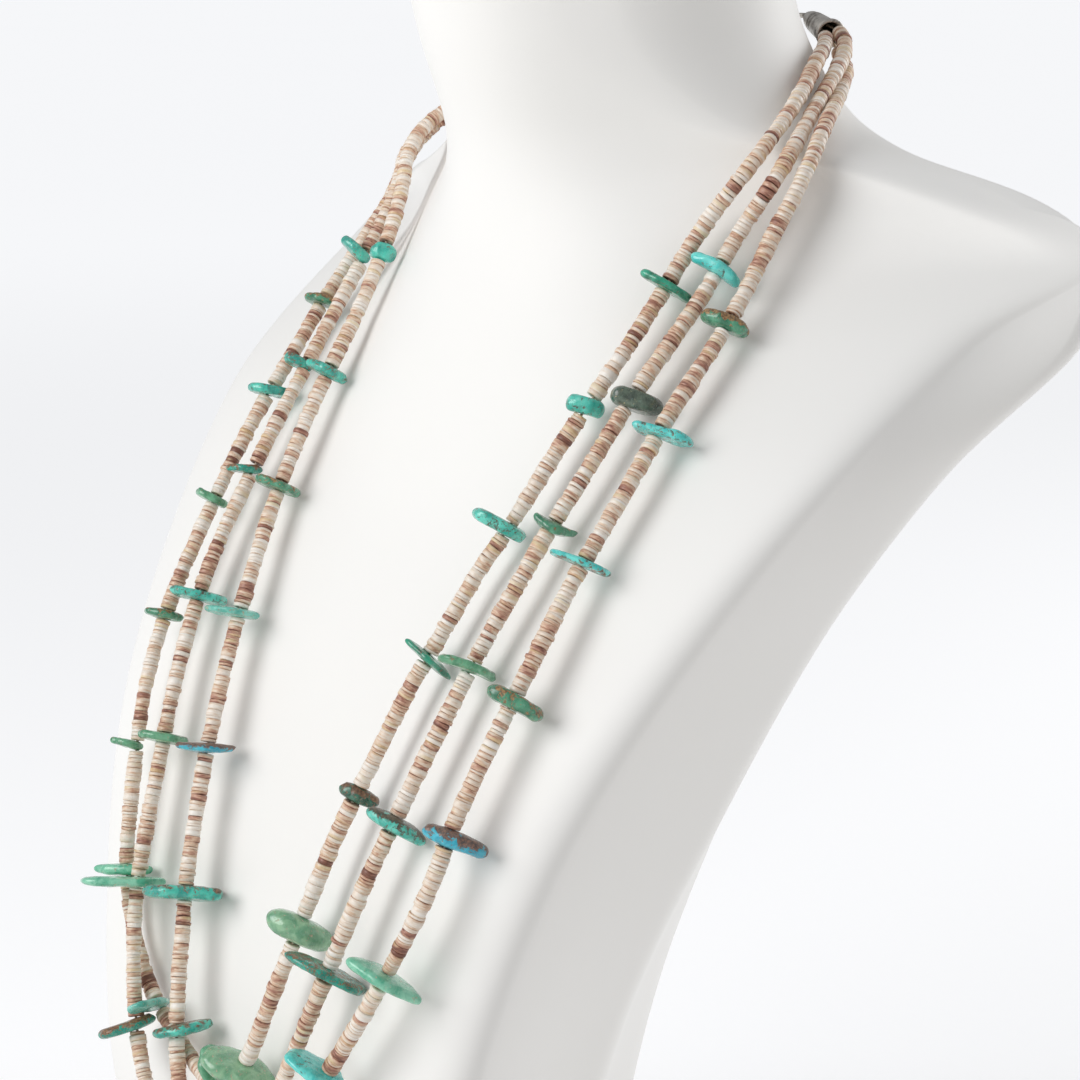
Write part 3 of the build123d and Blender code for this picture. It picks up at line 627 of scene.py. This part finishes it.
def tab_grid(row, slope, seed):
    """A drilled slab, in its own axes. Columns go round the outline, an ellipse times the smooth
    curve through its eight radii, with two waves on it. Rows go from the bore over the upper face,
    round the edge, a quarter ellipse above and below, and back over the lower face. A face falls
    with the square of the way to the rim. Flats are planes that push the rim in, a bend lifts the
    long axis and lowers the short one by their squares, and smooth noise moves the points along
    their normals. slope is how far the bore leans to each axis for one of height."""
    draw = np.random.default_rng(seed)
    half_length = tab_length * row.length / 2
    half_height = tab_thickness * row.thickness / 2
    flat_share = np.clip(tab_face - face_loss * (row.thickness - 1), *face_limits)
    fall = face_falls.get(row.outline, usual_fall)

    turn = np.linspace(0, 2 * np.pi, tab_sides, endpoint=False)
    waves = np.fft.rfft(tab_outlines[row.outline]) * [1, 2, 2, 2, 1] / 8
    radius = (waves[:, None] * np.exp(1j * np.arange(5)[:, None] * turn)).real.sum(axis=0)
    (wide_waves, wide_height), (small_waves, small_height) = outline_waves
    radius = radius * (1 + wide_height * np.sin(wide_waves * turn + draw.uniform(0, 6)))
    radius = radius + small_height * np.sin(small_waves * turn + draw.uniform(0, 6))
    ellipse = np.stack([np.cos(turn), row.width * np.sin(turn)], axis=-1)
    rim = half_length * radius[:, None] * ellipse

    bore = -tab_length * np.array([row.along, row.across])
    away = rim - bore
    away *= tab_bore / 2 / np.linalg.norm(away, axis=-1, keepdims=True)
    rows = []
    share = np.linspace(0, 1, face_rows)[:, None, None] ** 0.9
    for side in (1, -1):
        ring = bore + slope * side * half_height + away
        face = ring * (1 - share) + flat_share * rim * share
        height = side * half_height * (1 - fall * (share * flat_share) ** 2 + 0 * face[..., :1])
        rows.append(np.concatenate([face, height], axis=-1)[::side])
    angle = np.linspace(np.pi / 2, -np.pi / 2, edge_rows)[1:-1, None, None]
    edge = rim * (flat_share + (1 - flat_share) * np.cos(angle))
    height = half_height * (1 - fall * flat_share**2) * np.sin(angle) + 0 * edge[..., :1]
    rows.insert(1, np.concatenate([edge, height], axis=-1))
    grid = np.concatenate(rows)

    for _ in range(row.flats):
        heading = draw.uniform(0, 2 * np.pi)
        way = np.array([np.cos(heading), np.sin(heading), draw.uniform(-1.0, 1.0)])
        way /= np.linalg.norm(way)
        reach = grid @ way
        limit = reach.max() * draw.uniform(*flat_starts)
        grid = grid - way * np.maximum(reach - limit, 0)[..., None] * flat_depth

    distance = np.linalg.norm(grid[..., :2] - bore, axis=-1)
    free = np.clip((distance - bore_guard) / bore_guard, 0, 1)
    x, y = grid[..., 0] / half_length, grid[..., 1] / half_length
    grid[..., 2] += row.bend * half_height * free * (x * x - 1.4 * y * y)
    run = np.roll(grid, -1, axis=0) - np.roll(grid, 1, axis=0)
    around = np.roll(grid, -1, axis=1) - np.roll(grid, 1, axis=1)
    normal = np.cross(around, run)
    normal /= np.maximum(np.linalg.norm(normal, axis=-1, keepdims=True), 1e-9)
    relief = 0
    for layer, (height, width) in enumerate(stone_lumps):
        relief = relief + height * lumps(grid / width + 9, seed + layer)
    return grid + normal * (relief * free)[..., None]


def stone_finish(name, light, dark, rock_dark, rock_light):
    """Polished turquoise: clouds of the light and dark colour with milky and dark spots, broken
    veins at the borders of warped cells, flecks where noise and the tab's veins add up, crust
    where noise and its crust do, and pits in all three"""
    stone = Finish(f"stone_{name}", IOR=1.58, Coat_Weight=0.4, Coat_Roughness=0.12)
    scale = {"operation": "SCALE"}
    where = stone.node("ShaderNodeVectorMath", scale, {0: stone.place(), "Scale": 1000.0})
    clouds = stone.noise(where, 0.28, detail=4, rough=0.6, warp=0.6)
    specks = stone.noise(where, 2.2, detail=3, rough=0.6)
    colour = stone.blend(clouds.rise(0.35, 0.65), paint(dark), paint(light))
    milky = stone.noise(where, 0.7, detail=3, rough=0.6).rise(0.52, 0.75) * 0.2
    colour = stone.blend(milky, colour, paint("BFE3D6"))
    colour = stone.blend(specks.rise(0.62, 0.72) * 0.3, colour, paint(dark))

    ripple = stone.node("ShaderNodeTexNoise", {}, {"Vector": where, "Scale": 0.8}, "Color")
    settings = {"data_type": "VECTOR"}
    warped = stone.node("ShaderNodeMix", settings, {0: 0.6, 4: where, 5: ripple}, 1)
    settings = {"feature": "DISTANCE_TO_EDGE"}
    cells = stone.node("ShaderNodeTexVoronoi", settings, {"Vector": warped, "Scale": 0.9})
    veined, crusted = stone.field("veins"), stone.field("crust")
    broken = stone.noise(where, 0.75, detail=3, rough=0.6) + veined * 0.12
    vein = (1 - cells.rise(0.01, 0.07)) * broken.rise(0.60, 0.67)
    flecks = stone.noise(where, 1.3, detail=4, rough=0.65, warp=0.9) + veined * 0.13
    flecks = flecks.rise(0.675, 0.715)
    crust = stone.noise(where, 0.45, detail=4, rough=0.65, warp=0.5) + crusted * 0.42
    crust = crust.rise(0.64, 0.72)
    mottle = stone.noise(where, 1.7, detail=4, rough=0.7).rise(0.35, 0.65)
    rock = stone.blend(mottle, paint(rock_dark), paint(rock_light))
    host = stone.maths("MAXIMUM", stone.maths("MAXIMUM", vein, flecks), crust)
    stone.feed(
        Base_Color=stone.blend(host * 0.92, colour, rock),
        Roughness=0.20 + specks * 0.12 + host * 0.3,
    )
    stone.relief(specks * 0.25 - host * 0.8, strength=0.5, distance=0.00025)
    return stone


finishes = {name: stone_finish(name, *colours) for name, colours in stones.items()}

for name, rows in strand_tabs.items():
    for number, row in enumerate(rows, 1):
        middle, long_axis, width_axis, normal, thread = tab_plane(strands[name], row)
        slope = np.array([thread @ long_axis, thread @ width_axis]) / (thread @ normal)
        grid = tab_grid(row, slope, 100 * len(name) + number)
        axes = np.stack([long_axis, width_axis, normal])
        points, faces = skin((middle + grid @ axes) * millimetre, joined=True)
        half_height = tab_thickness * row.thickness / 2
        crusted = np.clip(0.5 + 0.9 * np.sign(row.crust) * grid[..., 2] / half_height, 0, 1)
        fields = [
            ("veins", "FLOAT", np.full(len(points), row.veins)),
            ("crust", "FLOAT", abs(row.crust) * crusted),
        ]
        finish = finishes[row.stone]
        tab = piece(f"turquoise_{name}_{number}", points, faces, finish, attributes=fields)
        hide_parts(f"tab_{name}_{number}")
        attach(tab, "root")

# ------------------------------------------------------------
# The heishi: small discs of white, tan and brown shell, drilled, strung and ground round on the
# string. They fill each strand between the tabs, and the shell's layers show on their edges.
# ------------------------------------------------------------
heishi_radius = 1.98
heishi_bore = 0.55
heishi_thickness = 1.22
heishi_bevel = 0.16
heishi_sides = 14
bead_clearance = 0.05

# Half the gap between two discs, and the shares of discs that are chipped and that are dark
half_gap = 0.012
chipped_share = 0.06
dark_share = 0.13

# How far the thickness, size, place and direction of the discs are scattered
thickness_spread = 0.36
size_spread = 0.045
level_spread, out_spread = 0.08, 0.05
tilt_spread = 0.025

# How fast the shell's layers change along the thread, the usual tone, how much it scatters, and
# how much painted shade darkens a disc in its six rows, from bore to face, wall and back, deepest
# at the bore and on the faces in the gaps between discs
layer_scale = 1.3
usual_tone = 0.41
tone_spread = 0.13
painted_gap_shade = [0.3, 0.14, 0, 0, 0.14, 0.3]

# Where the heishi of each strand begin and end, in mm from the two ends of the thread
heishi_start = {"short": (8.5, 12.0), "middle": (9.0, 8.5), "long": (12.0, 9.0)}


def span_end(strand, row, way):
    """How far along the strand the heishi stop square to it, clear of the tab's face: the reach
    grows by what is missing to half the tab, the clearance and 0.7 of the way that the edge of a
    disc on the tilted tab needs"""
    middle, _, _, normal, _ = tab_plane(strand, row)
    start = row.place * strand.length
    need = tab_thickness * row.thickness / 2 + bead_clearance
    reach = need
    for _ in range(4):
        point, _, _, along = strand.planes(start + way * reach)
        edge = 0.7 * heishi_radius * max(1 - (normal @ along) ** 2, 0) ** 0.5
        reach += need + edge - way * (point - middle) @ normal
    return start + way * reach


def heishi_spans(name):
    """Begin and end of each run of heishi, in mm along the strand"""
    strand = strands[name]
    first, last = heishi_start[name]
    ends = [first]
    for row in strand_tabs[name]:
        ends += [span_end(strand, row, -1), span_end(strand, row, 1)]
    ends.append(strand.length - last)
    return zip(ends[::2], ends[1::2])


def heishi_grid(strand, spans, draw):
    """All the discs of a strand, each a ring of six rows: bore, face and wall on both sides, with
    a bevel between the last two. Thickness, size, place, tilt and outline are drawn for each, and
    a few are chipped. Also the place of each point in the shell's layers, and its tone, with
    painted shade on the bore and faces."""
    centre, thick = [], []
    for begin, end in spans:
        sizes = draw.lognormal(0, thickness_spread, round((end - begin) / heishi_thickness))
        sizes = np.clip(sizes, 0.5, 1.9)
        sizes *= (end - begin) / sizes.sum()
        centre.append(begin + np.cumsum(sizes) - sizes / 2)
        thick.append(sizes)
    centre, thick = np.concatenate(centre), np.concatenate(thick)
    count = len(centre)
    middle, level, out, along = strand.planes(centre)

    swell = 0.03 * np.sin(centre / 9 + draw.uniform(0, 6)) + 0.02 * np.sin(centre / 3.7)
    size = np.clip(draw.normal(0, size_spread, count), -0.10, 0.09)
    size = heishi_radius * (1 + swell + size)

    def drawn(spread):
        """One random step for each disc"""
        return draw.normal(0, spread, (count, 1))

    middle = middle + level * drawn(level_spread) + out * drawn(out_spread)
    along = along + level * drawn(tilt_spread) + out * drawn(tilt_spread)
    along /= np.linalg.norm(along, axis=-1, keepdims=True)
    level = np.cross(out, along)
    level /= np.linalg.norm(level, axis=-1, keepdims=True)
    out = np.cross(along, level)

    turn = np.linspace(0, 2 * np.pi, heishi_sides, endpoint=False)
    phase = draw.uniform(0, 2 * np.pi, (3, count, 1))
    shape = 1 + 0.014 * np.cos(2 * turn + phase[0]) + 0.010 * np.cos(3 * turn + phase[1])
    chipped = draw.random((count, 1)) < chipped_share
    shape -= chipped * 0.12 * np.exp((np.cos(turn - phase[2]) - 1) / 0.06)

    half = (thick * 0.5 - half_gap)[:, None]
    bevel = np.minimum(heishi_bevel, half * 0.4)
    wall = (size[:, None] * shape)[:, None, :]
    bore = np.full_like(wall, heishi_bore)
    face = wall - bevel[:, None, :]
    radius = np.concatenate([bore, face, wall, wall, face, bore], axis=1)
    height = np.concatenate([-half, -half, bevel - half, half - bevel, half, half], axis=1)
    circle = np.stack([np.cos(turn), np.sin(turn)])
    grid = (
        middle[:, None, None]
        + level[:, None, None] * (radius * circle[0])[..., None]
        + out[:, None, None] * (radius * circle[1])[..., None]
        + along[:, None, None] * height[..., None, None]
    )

    # Layers lie square to the thread and start anew 41 on for each disc
    layers = centre[:, None] * layer_scale + 41 * np.arange(count)[:, None] + height * layer_scale
    around = np.broadcast_to(circle.T * 0.45, (*radius.shape, 2))
    depth = np.broadcast_to(layers[..., None, None], (*radius.shape, 1))
    grain = np.concatenate([around, depth], axis=-1)
    runs = 0.10 * np.sin(centre / 6.1 + draw.uniform(0, 6)) + 0.06 * np.sin(centre / 2.3)
    tone = usual_tone + runs + draw.normal(0, tone_spread, count)
    tone = np.where(draw.random(count) < dark_share, tone + 0.28, tone)
    # Painted shade: each disc is darker toward its bore and on its faces, where it meets its
    # neighbours in the gaps between discs
    gap_shade = np.array(painted_gap_shade)[None, :, None]
    tone = np.broadcast_to(tone[:, None, None] + gap_shade, radius.shape)
    return grid, grain, tone


shell = Finish("heishi_shell", IOR=1.53, Coat_Weight=0.1, Coat_Roughness=0.25)
grain = shell.field("grain", "Vector")
bands = shell.noise(grain, 1.0, detail=3, rough=0.6)
streaks = shell.noise(grain, 3.1)
tint = shell.noise(grain, 0.37, detail=1)
tone = shell.field("tone") + (bands - 0.5) * 1.3 + (streaks - 0.5) * 0.3
# From the white of the shell's outside to the brown of its layers
stops = [
    (0.05, "F1ECE5"), (0.30, "EBDFD2"), (0.46, "E2CFBC"), (0.57, "DCBDA2"),
    (0.69, "C59B84"), (0.84, "A47261"), (1.0, "7A4F40"),
]
hue = shell.node("ShaderNodeValToRGB", {"stops": stops}, {0: tone})
golden = tint.rise(0.58, 0.68) * 0.5
shell.feed(
    Base_Color=shell.blend(golden, hue, paint("DCC48E")),
    Roughness=0.34 + streaks * 0.25,
)
shell.relief(bands + streaks * 0.5, strength=0.35, distance=0.00006)

for name, strand in strands.items():
    draw = np.random.default_rng(len(name))
    grid, grain, tone = heishi_grid(strand, heishi_spans(name), draw)
    points, faces = skin(grid * millimetre, joined=True)
    fields = [("grain", "FLOAT_VECTOR", grain), ("tone", "FLOAT", tone)]
    string = piece(f"heishi_{name}", points, faces, shell, attributes=fields)
    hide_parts(f"string_{name}")
    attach(string, "root")

# ------------------------------------------------------------
# The silver cones: sheet silver rolled to a cone and soldered, with a rolled rim at the mouth and
# a groove behind it. They gather the three strands, and the hidden clasp joins their tips.
# ------------------------------------------------------------
cone_length = 22.0
cone_sides = 64
cone_mouth = np.array([35.0, 105.0, 336.8])
cone_direction = np.array([0.85, -0.50, -0.17]) / np.linalg.norm([0.85, -0.50, -0.17])

silver = Finish("old_silver", Metallic=1.0)
place = silver.place()
tarnish = silver.noise(place, 260, detail=5, rough=0.65).rise(0.42, 0.66)
scratches = silver.noise(place, 2600, detail=3, rough=0.7)
silver.feed(
    Base_Color=silver.blend(tarnish, paint("C2BDB7"), paint("6B645E")),
    Roughness=0.30 + tarnish * 0.22 + scratches * 0.12,
)
silver.relief(scratches - tarnish, strength=0.3, distance=0.00008)

# The profile, along and out from the tip: bore, tip, wall, groove, rolled rim and mouth
rim_turn = np.radians(np.linspace(0, 180, 9))
rim = np.column_stack([21.45 - 0.55 * np.cos(rim_turn), 3.35 + 0.55 * np.sin(rim_turn)])
profile = np.concatenate([
    [(3.0, 0.8), (0.0, 0.8), (0.0, 1.40), (0.3, 1.75), (3.0, 2.35), (7.0, 2.80), (13.0, 3.10)],
    [(19.6, 3.33), (19.95, 3.30), (20.2, 3.20), (20.5, 3.20), (20.75, 3.29)],
    rim,
    [(21.9, 3.0), (12.0, 1.9)],
])
for name, way in (("near", 1), ("far", -1)):
    # The profile turned about the cone's axis
    mirrored = np.array([way, 1, 1])
    axis = cone_direction * mirrored
    side = np.cross([0.0, 0.0, 1.0], axis)
    side /= np.linalg.norm(side)
    turn = np.linspace(0, 2 * np.pi, cone_sides, endpoint=False)
    ring = side * np.cos(turn)[:, None] + np.cross(axis, side) * np.sin(turn)[:, None]
    tip = (cone_mouth - cone_direction * cone_length) * mirrored
    grid = tip + profile[:, None, :1] * axis + profile[:, None, 1:] * ring
    cone = piece(f"silver_cone_{name}", *skin(grid * millimetre, joined=True), silver, sharp=40)
    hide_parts(f"cone_{name}")
    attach(cone, "root")

# The clasp lies hidden between the tips and keeps its CAD mesh, in the cones' silver
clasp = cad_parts["clasp"]
clasp.data.materials.clear()
clasp.data.materials.append(silver.material)

# ------------------------------------------------------------
# The studio: a pale floor that glows a little, a soft lamp from the upper left in front, one from
# the upper right behind the bust, an even white surround, and the camera, 50 degrees to the
# bust's left and 12 degrees above.
# ------------------------------------------------------------
floor_radius = 40.0
floor_sides = 96
lamp_distance = 1.3
lamp_target = np.array([0.04, -0.02, 0.20])
surround_strength = 0.41
camera_lens = 89.83
camera_at = np.array([0.5309, -0.4095, 0.3537])
camera_azimuth, camera_elevation = np.radians([50, 12])
look = -np.array([
    np.sin(camera_azimuth) * np.cos(camera_elevation),
    -np.cos(camera_azimuth) * np.cos(camera_elevation),
    np.sin(camera_elevation),
])
right = np.array([np.cos(camera_azimuth), np.sin(camera_azimuth), 0.0])
above = np.cross(right, look)

paper = Finish("pale_floor", Roughness=0.9, Emission_Strength=1.1)
sweep = paper.noise(paper.place(), 0.6, detail=1)
paper.feed(Base_Color=paper.blend(sweep, paint("B5B5B5"), paint("B2B2B3")))

# The glow is darker in front of the bust than behind it, and there it grows with the distance
x, y = [paper.node("ShaderNodeSeparateXYZ", {}, {0: paper.place()}, axis) for axis in "XY"]
reach = paper.maths("SQRT", x * x + y * y, 0.0)
behind = (x * look[0] + y * look[1]).rise(-0.05, 0.18)
glow = paper.blend(reach.rise(0.4, 3.0), paint("BFC0C2"), paint("D3D4D6"))
paper.feed(Emission_Color=paper.blend(behind, paint("A4A19E"), glow))
turn = np.linspace(0, 2 * np.pi, floor_sides, endpoint=False)
disc = floor_radius * np.stack([np.cos(turn), np.sin(turn), 0 * turn], axis=-1)
floor_mesh = bpy.data.meshes.new("floor")
floor_mesh.from_pydata(disc.tolist(), [], [list(range(floor_sides))])
floor_mesh.materials.append(paper.material)
floor = bpy.data.objects.new("floor", floor_mesh)
bpy.context.collection.objects.link(floor)


def aimed(position, toward, upward):
    """The matrix of a lamp or camera there that looks toward a point"""
    back = np.array(position) - np.array(toward)
    back /= np.linalg.norm(back)
    side = np.cross(upward, back)
    side /= np.linalg.norm(side)
    axes = np.column_stack([side, np.cross(back, side), back, position])
    return Matrix(np.vstack([axes, [0, 0, 0, 1]]).tolist())


# A lamp: its name, its width in metres, its power in watts and its way from the target
for name, size, energy, way in (
    ("key", 1.0, 11.1, -0.78 * right + 0.38 * above - 0.50 * look),
    ("rim", 0.9, 7.8, 0.88 * right + 0.45 * above + 0.38 * look),
):
    light = bpy.data.lights.new(name, "AREA")
    light.shape = "DISK"
    light.size = size
    light.energy = energy
    light.color = (1.0, 0.99, 0.98)
    lamp = bpy.data.objects.new(name, light)
    bpy.context.collection.objects.link(lamp)
    lamp.matrix_world = aimed(lamp_target + lamp_distance * way, lamp_target, [0, 0, 1])

world = bpy.data.worlds.new("surround")
world.use_nodes = True
surround = world.node_tree.nodes["Background"]
surround.inputs["Color"].default_value = (0.985, 0.99, 1.0, 1.0)
surround.inputs["Strength"].default_value = surround_strength
bpy.context.scene.world = world
bpy.context.scene.view_settings.view_transform = "Standard"

camera_data = bpy.data.cameras.new("camera")
camera_data.sensor_width = 36.0
camera_data.lens = camera_lens
camera_data.clip_end = 100.0
camera = bpy.data.objects.new("camera", camera_data)
bpy.context.collection.objects.link(camera)
camera.matrix_world = aimed(camera_at, camera_at + look, above)
bpy.context.scene.camera = camera
